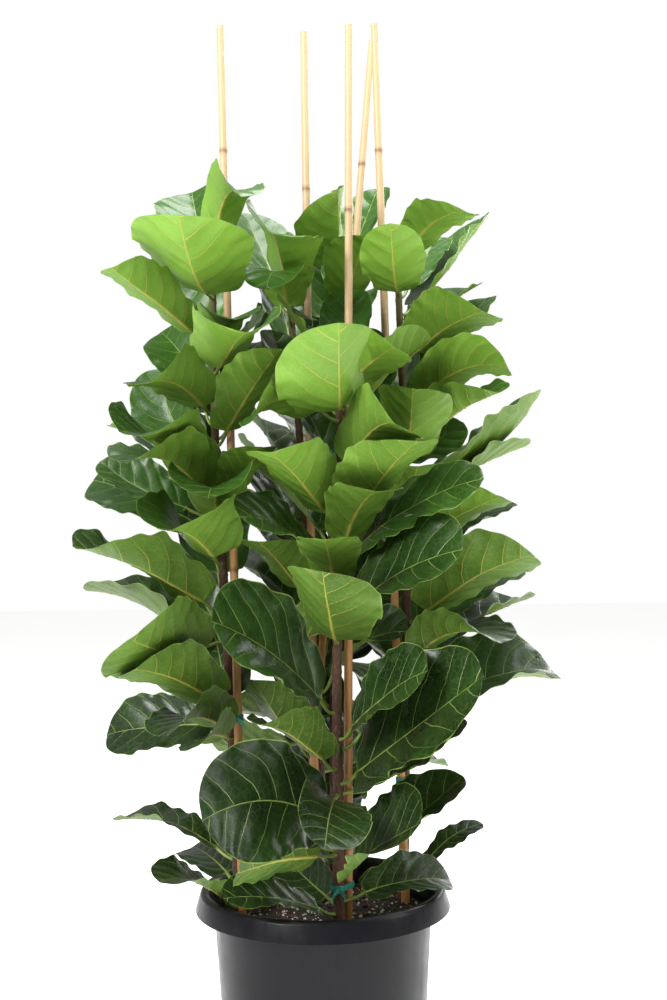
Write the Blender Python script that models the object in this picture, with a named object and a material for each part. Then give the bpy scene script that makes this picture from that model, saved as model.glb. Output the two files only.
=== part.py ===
# Potted fiddle leaf fig: five woody stems with bamboo canes in a black nursery pot.
# Metres, +Z up. The origin is the centre of the pot's flat base, and the front is -Y.

import math

import bmesh
import bpy
import numpy as np

# Driving dimensions
POT_HEIGHT = 0.300
POT_BASE_RADIUS = 0.136
POT_NECK_RADIUS = 0.1525
RIM_RADIUS = 0.179
SKIRT_HEIGHT = 0.0285
WALL = 0.0027
FLOOR_THICKNESS = 0.0035
SOIL_DEPTH_BELOW_RIM = 0.035
GAP = 0.0003
CANE_RADIUS = (0.0062, 0.0052)
CANE_NODE_SWELL = 0.0006
CANE_NODE_SPACING = 0.29
STEM_RADIUS = (0.0085, 0.0050)
LEAF_SCAR_SWELL = 0.0004
TIE_HEIGHT = 0.008
TIE_THICKNESS = 0.0009
TIE_CLEARANCE = 0.0013
BLADE_THICKNESS = 0.0012
MIDRIB_DEPTH = 0.0035
PETIOLE_RADIUS = 0.0024
BLADE_FOOT = 0.008

SOIL_TOP = POT_HEIGHT - SOIL_DEPTH_BELOW_RIM
NECK_HEIGHT = POT_HEIGHT - 0.034

# Each cane: its foot, its top, and the height of its first node ring
CANES = {
    "1": ((-0.107, -0.049, 0.020), (-0.125, -0.032, 1.503), 0.17),
    "2": ((-0.010, 0.030, 0.020), (-0.010, 0.030, 1.514), 0.13),
    "3": ((0.031, -0.070, 0.020), (0.053, -0.060, 1.492), 0.08),
    "4": ((-0.055, 0.058, 0.020), (0.090, 0.100, 1.524), 0.18),
    "5": ((0.123, 0.024, 0.020), (0.092, 0.060, 1.534), 0.19),
}

# Each stem: points up its centre line
STEMS = {
    "a": [
        (-0.114, -0.030, 0.235), (-0.123, -0.029, 0.550), (-0.132, -0.030, 0.750),
        (-0.140, -0.032, 0.920), (-0.141, -0.032, 1.190),
    ],
    "b": [(0.022, -0.084, 0.235), (0.024, -0.081, 0.600), (0.030, -0.076, 0.880), (0.034, -0.075, 1.030)],
    "c": [(0.004, 0.046, 0.235), (-0.004, 0.046, 0.510), (-0.020, 0.046, 0.850), (-0.036, 0.046, 1.140)],
    "d": [(0.114, 0.046, 0.235), (0.126, 0.050, 0.620), (0.128, 0.052, 0.900), (0.120, 0.052, 1.190)],
    "e": [(0.018, 0.100, 0.235), (0.020, 0.100, 0.600), (0.028, 0.100, 0.900), (0.035, 0.100, 1.200)],
}

# Each tie: stem, cane, height
TIES = [
    ("b", "3", 0.915), ("b", "3", 0.414), ("b", "3", 0.320), ("a", "1", 0.545),
    ("c", "2", 0.665), ("c", "2", 0.510), ("d", "5", 0.440),
]

# Each leaf: name, height on its stem, heading (0 is +X, 90 is +Y), rise of the blade at its foot
# and at its tip, length, width, roll and further twist to the tip, curl of the left and the right
# half, petiole length. Angles are in degrees.
LEAVES = {
    "a": [
        ("a2", 1.180, 105, 30, 55, 0.17, 0.13, 25, 0, 40, 55, 0.03),
        ("a3", 1.125, -95, 0, 45, 0.2, 0.17, 10, 0, 30, 20, 0.04),
        ("a4", 1.060, -120, 20, 20, 0.185, 0.09, -10, 0, 60, 35, 0.04),
        ("a5", 1.020, -75, 10, 5, 0.19, 0.15, -5, 0, 45, 55, 0.03),
        ("a6", 0.960, -110, 25, -15, 0.17, 0.11, -5, 0, 60, 5, 0.03),
        ("a7", 0.910, 135, 20, 100, 0.15, 0.11, 65, 0, 30, 20, 0.03),
        ("a10", 0.865, -120, 30, 0, 0.19, 0.13, -20, 60, 60, 25, 0.03),
        ("a11", 0.795, 145, 25, 10, 0.21, 0.11, 50, 0, 30, 30, 0.04),
        ("a13", 0.690, -145, 30, 15, 0.21, 0.13, -30, 60, 60, 20, 0.03),
        ("a14", 0.650, -120, -5, 25, 0.17, 0.16, -35, 0, 35, 5, 0.04),
        ("a15", 0.555, -125, 30, 10, 0.17, 0.12, -30, 0, 25, 25, 0.03),
        ("a16", 0.530, 160, 0, -15, 0.17, 0.1, 40, 0, 5, 40, 0.02),
        ("a19", 0.345, 150, 25, -15, 0.18, 0.08, 0, 0, 25, 25, 0.03),
    ],
    "b": [
        ("b1", 0.970, -90, -10, 75, 0.21, 0.16, -10, 0, 65, 10, 0.03),
        ("b2", 0.935, 70, 20, 105, 0.19, 0.09, -70, 0, 35, 75, 0.02),
        ("b5", 0.810, -115, 30, 20, 0.18, 0.12, 0, 0, 50, 25, 0.03),
        ("b7", 0.800, -60, 35, 25, 0.19, 0.13, 0, 0, 25, 25, 0.03),
        ("b9", 0.685, -40, 35, 10, 0.19, 0.14, -50, 0, 25, 25, 0.03),
        ("b11", 0.650, -95, 20, 45, 0.19, 0.14, 5, 0, 5, 45, 0.02),
        ("b12", 0.555, -140, 45, 20, 0.21, 0.17, 55, 0, 25, 25, 0.03),
        ("b13", 0.480, -125, 35, 15, 0.15, 0.1, 0, 0, 60, 25, 0.03),
        ("b15", 0.460, -40, 35, 35, 0.25, 0.17, -50, 0, 25, 15, 0.03),
        ("b17", 0.335, -55, 35, 25, 0.17, 0.14, -50, 0, 25, 45, 0.03),
        ("b18", 0.405, -130, 30, -15, 0.23, 0.16, 77, 0, 20, 20, 0.03),
        ("b21", 0.285, -140, 25, 5, 0.16, 0.07, 30, 0, 25, 25, 0.03),
    ],
    "c": [
        ("c1", 1.130, -95, 30, -10, 0.21, 0.12, 35, 0, 45, 25, 0.03),
    ],
    "d": [
        ("d1", 1.140, -95, -5, 45, 0.2, 0.09, 0, 0, 15, 10, 0.04),
        ("d2", 1.186, -65, 25, -10, 0.16, 0.09, 20, 0, 25, 5, 0.03),
        ("d6", 0.990, 35, 45, 45, 0.18, 0.12, 0, 0, 30, 20, 0.04),
        ("d7", 0.970, -35, 40, -20, 0.15, 0.11, 30, 0, 25, 25, 0.03),
        ("d8", 0.890, -90, 20, 35, 0.19, 0.12, 5, 0, 25, 45, 0.03),
        ("d9", 0.870, 15, 10, 65, 0.23, 0.18, 0, 0, 15, 40, 0.02),
        ("d13", 0.665, -35, 35, 15, 0.19, 0.14, 30, 0, 25, 25, 0.03),
        ("d17", 0.510, 20, 35, -10, 0.22, 0.17, -25, 0, 25, 35, 0.03),
        ("d19", 0.285, 25, 45, 5, 0.12, 0.04, -15, 0, 15, 5, 0.03),
        ("d68", 0.505, 105, 45, -20, 0.2, 0.14, 10, 0, 30, 25, 0.03),
        ("d70", 0.700, 75, 45, 10, 0.2, 0.16, 0, 0, 30, 25, 0.03),
    ],
    "e": [
        ("e51", 0.420, 75, 40, -5, 0.21, 0.17, 0, 0, 30, 25, 0.03),
        ("e52", 0.495, 125, 40, 0, 0.21, 0.17, 0, 0, 30, 25, 0.03),
        ("e53", 0.585, 70, 30, -25, 0.2, 0.16, 0, 0, 30, 25, 0.03),
        ("e54", 0.645, 95, 45, 5, 0.2, 0.16, 0, 0, 30, 25, 0.03),
    ],
}

# Sections of a blade, as fractions of its length, and the waved edge
BLADE_SECTIONS = np.array([0.0, 0.05, 0.14, 0.28, 0.45, 0.60, 0.74, 0.86, 0.95, 0.99])
EDGE_WAVE = 0.02
EDGE_WAVES_PER_BLADE = 2.2
PHASE_STEP = 2.1


def clear_scene():
    for obj in list(bpy.data.objects):
        bpy.data.objects.remove(obj)


def material(name, colour, roughness):
    made = bpy.data.materials.new(name)
    made.use_nodes = True
    shader = made.node_tree.nodes["Principled BSDF"]
    shader.inputs["Base Color"].default_value = (*colour, 1.0)
    shader.inputs["Roughness"].default_value = roughness
    shader.inputs["Metallic"].default_value = 0.0
    made.diffuse_color = (*colour, 1.0)
    return made


def add_object(name, points, faces, surface, sharp_degrees=50):
    mesh = bpy.data.meshes.new(name)
    mesh.from_pydata([tuple(p) for p in points], [], faces)
    if surface:
        mesh.materials.append(surface)
    mesh.shade_smooth()
    mesh.set_sharp_from_angle(angle=math.radians(sharp_degrees))
    obj = bpy.data.objects.new(name, mesh)
    bpy.context.scene.collection.objects.link(obj)
    return obj


def loft(rings, tip=None):
    """Points and faces of a closed solid through rings of equal length, counted anticlockwise.

    Each quad is split along one diagonal in the first half of a ring and along the other in the
    second half, so that the upper and lower faces of a thin warped blade stay parallel.
    """
    count = len(rings[0])
    points = np.concatenate(rings)
    faces = [tuple(range(count))[::-1]]
    for ring in range(len(rings) - 1):
        for side in range(count):
            low, low_next = ring * count + side, ring * count + (side + 1) % count
            if side < count // 2:
                faces.append((low, low_next, low_next + count))
                faces.append((low, low_next + count, low + count))
            else:
                faces.append((low, low_next, low + count))
                faces.append((low_next, low_next + count, low + count))
    last = (len(rings) - 1) * count
    if tip is None:
        faces.append(tuple(range(last, last + count)))
        return points, faces
    points = np.vstack([points, tip])
    for side in range(count):
        faces.append((last + side, last + (side + 1) % count, len(points) - 1))
    return points, faces


def circle(count):
    angle = np.linspace(0, 2 * math.pi, count, endpoint=False)
    return np.stack([np.cos(angle), np.sin(angle), np.zeros(count)], axis=-1)


def rod(centres, radii, sides):
    """Rings parallel to the floor along centres, closed at both ends."""
    return loft([np.asarray(c) + r * circle(sides) for c, r in zip(centres, radii)])


def turned(name, profile, surface, sides=48):
    """A turned solid. The profile runs from the axis, outwards and up, and back to the axis."""
    build = bmesh.new()
    verts = [build.verts.new((radius, 0.0, height)) for radius, height in profile]
    edges = [build.edges.new(pair) for pair in zip(verts[:-1], verts[1:])]
    bmesh.ops.spin(
        build,
        geom=verts + edges,
        cent=(0, 0, 0),
        axis=(0, 0, 1),
        angle=2 * math.pi,
        steps=sides,
        use_merge=True,
    )
    bmesh.ops.remove_doubles(build, verts=build.verts, dist=1e-5)
    bmesh.ops.recalc_face_normals(build, faces=build.faces)
    mesh = bpy.data.meshes.new(name)
    build.to_mesh(mesh)
    build.free()
    mesh.materials.append(surface)
    mesh.shade_smooth()
    mesh.set_sharp_from_angle(angle=math.radians(40))
    obj = bpy.data.objects.new(name, mesh)
    bpy.context.scene.collection.objects.link(obj)
    return obj


def wall_radius(height):
    """Inner radius of the pot's tapered wall."""
    outer = np.interp(height, [0, NECK_HEIGHT], [POT_BASE_RADIUS, POT_NECK_RADIUS])
    return float(outer) - WALL


def add_pot():
    """A tapered shell whose rim rolls over into a skirt that flares out and hangs free."""
    top = POT_HEIGHT
    skirt_foot = top - SKIRT_HEIGHT
    profile = [
        (0.0, 0.0),
        (POT_BASE_RADIUS - 0.004, 0.0),
        (POT_BASE_RADIUS, 0.004),
        (POT_NECK_RADIUS, NECK_HEIGHT),
        (POT_NECK_RADIUS + 0.0065, top - 0.016),
        (POT_NECK_RADIUS + 0.0100, top - 0.0085),
        (POT_NECK_RADIUS + 0.0150, top - 0.0095),
        (RIM_RADIUS - 0.0025, skirt_foot - 0.0003),
        (RIM_RADIUS, skirt_foot),
        (RIM_RADIUS - 0.0070, top - 0.0045),
        (RIM_RADIUS - 0.0095, top - 0.0010),
        (RIM_RADIUS - 0.0130, top),
        (RIM_RADIUS - 0.0175, top - 0.0015),
        (RIM_RADIUS - 0.0202, top - 0.0060),
        (RIM_RADIUS - 0.0230, top - 0.0160),
        (wall_radius(NECK_HEIGHT), NECK_HEIGHT),
        (wall_radius(FLOOR_THICKNESS) - 0.001, FLOOR_THICKNESS + 0.001),
        (wall_radius(FLOOR_THICKNESS) - 0.004, FLOOR_THICKNESS),
        (0.0, FLOOR_THICKNESS),
    ]
    turned("pot", profile, material("pot_black_plastic", (0.030, 0.031, 0.036), 0.38))


def add_soil():
    """Potting mix, a shallow dome against the wall, with a hole for each cane and stem."""
    low = FLOOR_THICKNESS + GAP
    profile = [
        (0.0, low),
        (wall_radius(low) - 0.004 - GAP, low),
        (wall_radius(low + 0.004) - 0.001 - GAP, low + 0.004),
        (wall_radius(SOIL_TOP) - 0.001 - GAP, SOIL_TOP - 0.004),
        (0.110, SOIL_TOP - 0.001),
        (0.060, SOIL_TOP + 0.001),
        (0.0, SOIL_TOP),
    ]
    soil = turned("soil", profile, material("potting_mix", (0.045, 0.030, 0.020), 0.95))
    above = SOIL_TOP + 0.030
    for key, (foot, top, _) in CANES.items():
        foot, top = np.array(foot), np.array(top)
        lean = (top - foot) / (top[2] - foot[2])
        ends = [foot - lean * GAP, foot + lean * (above - foot[2])]
        cut_hole(soil, "cane_hole_" + key, ends, CANE_RADIUS[0] + CANE_NODE_SWELL + GAP)
    for key in STEMS:
        foot = stem_point(key, STEMS[key][0][2])
        ends = [foot - (0, 0, GAP), stem_point(key, above)]
        cut_hole(soil, "stem_hole_" + key, ends, STEM_RADIUS[0] + LEAF_SCAR_SWELL + GAP)


def cut_hole(body, name, ends, radius):
    points, faces = rod(ends, [radius, radius], 12)
    cutter = add_object(name, points, faces, None)
    cutter.hide_render = True
    cutter.display_type = "WIRE"
    cut = body.modifiers.new(name, "BOOLEAN")
    cut.operation = "DIFFERENCE"
    cut.solver = "EXACT"
    cut.object = cutter


def cane_point(key, height):
    foot, top, _ = CANES[key]
    foot, top = np.array(foot), np.array(top)
    return foot + (top - foot) * (height - foot[2]) / (top[2] - foot[2])


def cane_radius(key, height):
    foot, top, _ = CANES[key]
    return float(np.interp(height, [foot[2], top[2]], CANE_RADIUS))


def add_canes():
    """Tapered bamboo, with a swollen ring at every node."""
    for key, (foot, top, first_node) in CANES.items():
        heights, swells = [foot[2]], [0.0]
        node = first_node
        while node < top[2] - 0.02:
            heights += [node - 0.006, node, node + 0.004]
            swells += [0.0, CANE_NODE_SWELL, 0.0]
            node += CANE_NODE_SPACING
        heights.append(top[2])
        swells.append(0.0)
        radii = [cane_radius(key, h) + s for h, s in zip(heights, swells)]
        points, faces = rod([cane_point(key, h) for h in heights], radii, 10)
        surface = material("bamboo_" + key, (0.62, 0.42, 0.19), 0.45)
        add_object("cane_" + key, points, faces, surface)


def stem_point(key, height):
    line = np.array(STEMS[key])
    return np.array([np.interp(height, line[:, 2], line[:, axis]) for axis in range(3)])


def stem_radius(key, height):
    ends = (STEMS[key][0][2], STEMS[key][-1][2])
    return float(np.interp(height, ends, STEM_RADIUS))


def add_stems():
    """Woody stems, with a slight ring at every leaf scar."""
    for key, line in STEMS.items():
        heights = np.linspace(line[0][2], line[-1][2], 15)
        swells = np.where(np.arange(15) % 2 == 1, LEAF_SCAR_SWELL, 0.0)
        radii = [stem_radius(key, h) + s for h, s in zip(heights, swells)]
        points, faces = rod([stem_point(key, h) for h in heights], radii, 10)
        surface = material("bark_" + key, (0.075, 0.045, 0.030), 0.80)
        add_object("stem_" + key, points, faces, surface)


def tie_outline(stem, cane, height, spread):
    """A racetrack round a stem and its cane: a half circle round each, joined by straight sides."""
    centres = (stem_point(stem, height), cane_point(cane, height))
    radii = (stem_radius(stem, height) + spread, cane_radius(cane, height) + spread)
    across = centres[1] - centres[0]
    turn = math.atan2(across[1], across[0])
    outline = []
    for centre, radius, start in ((centres[1], radii[1], -0.5), (centres[0], radii[0], 0.5)):
        for angle in turn + math.pi * (start + np.linspace(0, 1, 8)):
            outline.append(centre + radius * np.array([math.cos(angle), math.sin(angle), 0.0]))
    return np.array(outline)


def add_ties():
    """Bands of garden tape, each round one stem and its cane."""
    for number, (stem, cane, height) in enumerate(TIES, 1):
        low, high = height - TIE_HEIGHT / 2, height + TIE_HEIGHT / 2
        outer = TIE_CLEARANCE + TIE_THICKNESS
        rings = [
            tie_outline(stem, cane, low, TIE_CLEARANCE),
            tie_outline(stem, cane, low, outer),
            tie_outline(stem, cane, high, outer),
            tie_outline(stem, cane, high, TIE_CLEARANCE),
        ]
        count = len(rings[0])
        faces = []
        for ring in range(4):
            for side in range(count):
                a, b = ring * count + side, ring * count + (side + 1) % count
                c, d = (ring + 1) % 4 * count + side, (ring + 1) % 4 * count + (side + 1) % count
                faces.append((a, b, d, c))
        surface = material(f"garden_tape_{number}", (0.02, 0.20, 0.17), 0.45)
        add_object(f"tie_{number}", np.concatenate(rings), faces, surface)


def blade_half_width(along):
    """The fiddle outline: lobed foot, slight waist near a third, widest near 0.6, round tip."""
    waist = 0.09 * np.exp(-(((along - 0.3) / 0.12) ** 2))
    return along**0.30 * (1 - along) ** 0.42 * (0.80 + 0.60 * along**1.4 - waist) / 0.64


def blade_axes(along, heading, rise, tip_rise, roll, twist):
    """Forward, sideways and upper-face directions of a blade at fractions along it."""
    pitch = np.radians(rise + (tip_rise - rise) * along**1.2)
    turn = np.radians(np.full_like(along, heading))
    lean = np.radians(roll + twist * along)[:, None]
    forward = np.stack(
        [np.cos(pitch) * np.cos(turn), np.cos(pitch) * np.sin(turn), np.sin(pitch)], axis=-1
    )
    upper = np.stack(
        [-np.sin(pitch) * np.cos(turn), -np.sin(pitch) * np.sin(turn), np.cos(pitch)], axis=-1
    )
    side = np.cross(forward, upper)
    return forward, side * np.cos(lean) + upper * np.sin(lean), upper * np.cos(lean) - side * np.sin(lean)


def blade_line(length, heading, rise, tip_rise):
    """The midrib's points at BLADE_SECTIONS: the forward direction summed along the blade."""
    fine = np.linspace(0, 1, 121)
    forward = blade_axes(fine, heading, rise, tip_rise, 0, 0)[0]
    steps = (forward[1:] + forward[:-1]) / 2 * length / 120
    line = np.vstack([np.zeros(3), np.cumsum(steps, axis=0)])
    return np.stack([np.interp(BLADE_SECTIONS, fine, line[:, axis]) for axis in range(3)], axis=-1)


def curled_offset(along, reach, curl, width, wave):
    """Sideways and upward offset at a fraction of the half width, on an arc that curls the edge up."""
    fine = np.linspace(0, 1, 41)
    bend = np.radians(curl) * (0.35 + 0.65 * math.sin(math.pi * along) ** 0.7)
    angle = bend * (0.35 + 0.65 * fine) * 1.35
    sideways = np.concatenate([[0], np.cumsum((np.cos(angle[1:]) + np.cos(angle[:-1])) / 80)])
    upward = np.concatenate([[0], np.cumsum((np.sin(angle[1:]) + np.sin(angle[:-1])) / 80)])
    lift = wave * reach**2 * math.sin(math.pi * along)
    return np.interp(reach, fine, sideways) * width, np.interp(reach, fine, upward) * width + lift


def petiole_rings(foot, radial, blade_foot, forward, length):
    """Two rings: one flat against the stem, and one half way along the bend to the blade."""
    angle = np.radians([180, 135, 90, 45, 0, -45, -90, -135])[:, None]
    side = np.cross(radial, (0.0, 0.0, 1.0))
    knee = foot + radial * 0.4 * length
    rings = []
    for t in (0.0, 0.5):
        centre = (1 - t) ** 2 * foot + 2 * t * (1 - t) * knee + t**2 * blade_foot
        along = radial * (1 - t) + forward * t
        upper = np.cross(side, along / np.linalg.norm(along))
        upper /= np.linalg.norm(upper)
        rings.append(centre + PETIOLE_RADIUS * (np.cos(angle) * side + np.sin(angle) * upper))
    return rings


def blade_ring(centre, axes, along, half_width, curls, length, phase):
    """Eight points round a section: thin curled halves, and a midrib that stands out below."""
    forward, side, upper = axes
    swept_back = -0.05 * length * math.exp(-along / 0.08)
    ring = {}
    for sign, curl in ((-1, curls[0]), (1, curls[1])):
        wave = EDGE_WAVE * length * math.sin(2 * math.pi * EDGE_WAVES_PER_BLADE * along + phase + sign * 1.3)
        for reach in (0.5, 1.0):
            out, up = curled_offset(along, reach, curl, half_width, wave)
            ring[sign, reach] = centre + side * sign * out + upper * up + forward * swept_back * reach**1.5
    half = upper * BLADE_THICKNESS / 2
    rib = upper * MIDRIB_DEPTH * (1 - 0.75 * along)
    return np.array([
        ring[-1, 1.0], ring[-1, 0.5] + half, centre + half, ring[1, 0.5] + half,
        ring[1, 1.0], ring[1, 0.5] - half, centre - half - rib, ring[-1, 0.5] - half,
    ])


def add_leaf(stem, row):
    name, height, heading, rise, tip_rise, length, width, roll, twist, left, right, petiole = row
    radial = np.array([math.cos(math.radians(heading)), math.sin(math.radians(heading)), 0.0])
    centre = stem_point(stem, height)
    foot = centre + radial * (stem_radius(stem, height) + 0.0018)
    forward, side, upper = blade_axes(BLADE_SECTIONS, heading, rise, tip_rise, roll, twist)
    blade_foot = centre + radial * BLADE_FOOT + forward[0] * petiole
    line = blade_foot + blade_line(length, heading, rise, tip_rise)
    rings = petiole_rings(foot, radial, blade_foot, forward[0], petiole)
    angle = np.radians([180, 135, 90, 45, 0, -45, -90, -135])[:, None]
    rings.append(line[0] + PETIOLE_RADIUS * (np.cos(angle) * side[0] + np.sin(angle) * upper[0]))
    phase = PHASE_STEP * int(name[1:])
    for index, along in enumerate(BLADE_SECTIONS[1:], 1):
        half_width = max(blade_half_width(along) * width / 2, PETIOLE_RADIUS)
        axes = (forward[index], side[index], upper[index])
        rings.append(blade_ring(line[index], axes, along, half_width, (left, right), length, phase))
    tip = line[-1] + forward[-1] * length * 0.02
    points, faces = loft(rings, tip)
    surface = material("leaf_" + name, (0.055, 0.155, 0.035), 0.38)
    add_object("leaf_" + name, points, faces, surface)


def main():
    clear_scene()
    add_pot()
    add_soil()
    add_canes()
    add_stems()
    add_ties()
    for stem, rows in LEAVES.items():
        for row in rows:
            add_leaf(stem, row)


main()
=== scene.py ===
import math

import bpy
import numpy as np
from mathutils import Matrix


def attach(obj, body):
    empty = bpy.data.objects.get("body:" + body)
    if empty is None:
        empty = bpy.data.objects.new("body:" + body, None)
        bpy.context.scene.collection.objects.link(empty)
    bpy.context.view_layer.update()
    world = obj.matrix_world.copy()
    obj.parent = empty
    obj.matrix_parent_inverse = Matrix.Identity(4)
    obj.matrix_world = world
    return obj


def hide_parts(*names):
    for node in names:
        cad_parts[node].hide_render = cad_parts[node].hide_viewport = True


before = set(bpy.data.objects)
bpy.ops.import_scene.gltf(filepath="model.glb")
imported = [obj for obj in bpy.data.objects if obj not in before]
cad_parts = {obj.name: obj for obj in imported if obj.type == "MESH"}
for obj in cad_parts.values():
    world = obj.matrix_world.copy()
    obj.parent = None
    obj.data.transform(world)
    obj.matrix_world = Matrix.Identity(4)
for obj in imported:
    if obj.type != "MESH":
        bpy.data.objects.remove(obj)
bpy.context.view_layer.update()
random = np.random.default_rng(11)


# shared helpers

def linear(hexColour):
    # sRGB hex to the linear values that shaders take
    parts = np.array([int(hexColour[i:i + 2], 16) for i in (1, 3, 5)]) / 255
    flat = np.where(parts <= 0.04045, parts / 12.92, ((parts + 0.055) / 1.055) ** 2.4)
    return (*[float(v) for v in flat], 1.0)


def put(tree, kind, inputs=None, **settings):
    # adds one node, sets its settings, and links or fills its inputs
    made = tree.nodes.new(kind)
    for name, value in settings.items():
        setattr(made, name, value)
    for key, value in (inputs or {}).items():
        if isinstance(value, bpy.types.NodeSocket):
            tree.links.new(value, made.inputs[key])
        else:
            made.inputs[key].default_value = value
    return made


def newMaterial(name, roughness, ior=1.45, viewColour="#808080"):
    made = bpy.data.materials.new(name)
    made.use_nodes = True
    made.diffuse_color = linear(viewColour)
    shader = made.node_tree.nodes["Principled BSDF"]
    shader.inputs["Roughness"].default_value = roughness
    shader.inputs["IOR"].default_value = ior
    shader.inputs["Metallic"].default_value = 0.0
    return made, made.node_tree, shader


def smoothStep(low, high, value):
    t = np.clip((value - low) / (high - low), 0, 1)
    return t * t * (3 - 2 * t)


def tubeFaces(rings, around):
    # quads between neighbouring closed rings, and a fan cap for each end, as index arrays
    ring, side = np.meshgrid(np.arange(rings - 1), np.arange(around), indexing="ij")
    a = ring * around + side
    b = ring * around + (side + 1) % around
    quads = np.stack([a, b, b + around, a + around], axis=-1).reshape(-1, 4)
    foot = list(range(around))[::-1]
    top = list(range((rings - 1) * around, rings * around))
    return quads.tolist() + [foot, top]


def addPiece(
    name, points, faces, materials, attributes=None, faceMaterial=None, sharp=60, stands=()
):
    # one mesh object at the origin, smooth except across edges sharper than sharp degrees
    mesh = bpy.data.meshes.new(name)
    mesh.from_pydata(np.asarray(points).tolist(), [], faces)
    for material in materials:
        mesh.materials.append(material)
    if faceMaterial is not None:
        mesh.polygons.foreach_set("material_index", np.asarray(faceMaterial, dtype=np.int32))
    for key, values in (attributes or {}).items():
        values = np.asarray(values, dtype=np.float32)
        kind = "FLOAT_VECTOR" if values.ndim == 2 else "FLOAT"
        layer = mesh.attributes.new(key, kind, "POINT")
        layer.data.foreach_set("vector" if values.ndim == 2 else "value", values.ravel())
    mesh.shade_smooth()
    mesh.set_sharp_from_angle(angle=math.radians(sharp))
    piece = bpy.data.objects.new(name, mesh)
    bpy.context.scene.collection.objects.link(piece)
    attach(piece, "root")
    if stands:
        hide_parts(*stands)
    return piece


# pot: moulded black polypropylene, satin, with a rolled rim

pot = {
    "height": 0.300, "baseRadius": 0.136, "neckRadius": 0.1525, "neckHeight": 0.266,
    "rimRadius": 0.179, "skirt": 0.0285, "wall": 0.0027, "floor": 0.0035, "soilTop": 0.265,
    "colour": "#0e0e13", "dust": "#4a443c", "roughness": 0.30, "specular": 0.22,
}


def potWallRadius(height):
    outer = np.interp(height, [0, pot["neckHeight"]], [pot["baseRadius"], pot["neckRadius"]])
    return outer - pot["wall"]


def roundedProfile(corners, perCorner=5):
    # each corner is replaced by a short quadratic curve between points a little way along its two sides
    corners = np.array(corners)
    line = [corners[:1]]
    for before, corner, after in zip(corners[:-2], corners[1:-1], corners[2:]):
        reach = 0.32 * min(np.linalg.norm(corner - before), np.linalg.norm(after - corner), 0.012)
        start = corner + (before - corner) / np.linalg.norm(before - corner) * reach
        end = corner + (after - corner) / np.linalg.norm(after - corner) * reach
        t = np.linspace(0, 1, perCorner)[:, None]
        line.append((1 - t) ** 2 * start + 2 * t * (1 - t) * corner + t**2 * end)
    line.append(corners[-1:])
    return np.concatenate(line)


def turnedPiece(name, profile, around, material, stands, lift=None):
    # radius and height of the profile turned about Z; the first and last points lie on the axis
    radius, height = profile[1:-1, 0], profile[1:-1, 1]
    angle = np.linspace(0, 2 * math.pi, around, endpoint=False)
    grid = np.stack(
        [radius[:, None] * np.cos(angle), radius[:, None] * np.sin(angle), height[:, None] + 0 * angle],
        axis=-1,
    )
    if lift is not None:
        grid[..., 2] += lift(grid[..., 0], grid[..., 1], grid[..., 2])
    points = grid.reshape(-1, 3)
    faces = tubeFaces(len(radius), around)[:-2]
    ends = [(0.0, 0.0, float(profile[0, 1])), (0.0, 0.0, float(profile[-1, 1]))]
    low, high = len(points), len(points) + 1
    last = (len(radius) - 1) * around
    for side in range(around):
        following = (side + 1) % around
        faces.append([following, side, low])
        faces.append([last + side, last + following, high])
    return addPiece(name, np.vstack([points, ends]), faces, [material], sharp=40, stands=stands)


def potPlastic():
    # satin black with faint vertical drag lines from the mould and a little dried soil on the rim
    material, tree, shader = newMaterial("mouldedBlackPolypropylene", pot["roughness"], 1.49, pot["colour"])
    shader.inputs["Specular IOR Level"].default_value = pot["specular"]
    place = put(tree, "ShaderNodeTexCoord").outputs["Object"]
    drawn = put(tree, "ShaderNodeMapping", {"Vector": place, "Scale": (60, 60, 2)}).outputs[0]
    streak = put(tree, "ShaderNodeTexNoise", {"Vector": drawn, "Scale": 1.0, "Detail": 4.0}).outputs["Fac"]
    patch = put(tree, "ShaderNodeTexNoise", {"Vector": place, "Scale": 28.0, "Detail": 5.0}).outputs["Fac"]
    grain = put(tree, "ShaderNodeTexNoise", {"Vector": place, "Scale": 900.0, "Detail": 2.0}).outputs["Fac"]
    height = put(tree, "ShaderNodeSeparateXYZ", {"Vector": place}).outputs["Z"]
    nearRim = put(
        tree, "ShaderNodeMapRange", {"Value": height, "From Min": 0.262, "From Max": 0.300}
    ).outputs[0]
    speck = put(tree, "ShaderNodeMapRange", {"Value": patch, "From Min": 0.60, "From Max": 0.78}).outputs[0]
    dust = put(tree, "ShaderNodeMath", {0: nearRim, 1: speck}, operation="MULTIPLY").outputs[0]
    faint = put(tree, "ShaderNodeMath", {0: dust, 1: 0.35}, operation="MULTIPLY").outputs[0]
    base = put(
        tree, "ShaderNodeMix", {0: faint, 6: linear(pot["colour"]), 7: linear(pot["dust"])}, data_type="RGBA"
    )
    tree.links.new(base.outputs[2], shader.inputs["Base Color"])
    mixed = put(tree, "ShaderNodeMath", {0: streak, 1: patch}, operation="ADD").outputs[0]
    rough = put(
        tree, "ShaderNodeMapRange",
        {"Value": mixed, "From Min": 0.7, "From Max": 1.3, "To Min": 0.24, "To Max": 0.42},
    )
    tree.links.new(rough.outputs[0], shader.inputs["Roughness"])
    uneven = put(
        tree, "ShaderNodeMath", {0: grain, 1: 0.25, 2: streak}, operation="MULTIPLY_ADD"
    ).outputs[0]
    bump = put(tree, "ShaderNodeBump", {"Height": uneven, "Strength": 0.12, "Distance": 0.0012})
    tree.links.new(bump.outputs[0], shader.inputs["Normal"])
    return material


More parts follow.
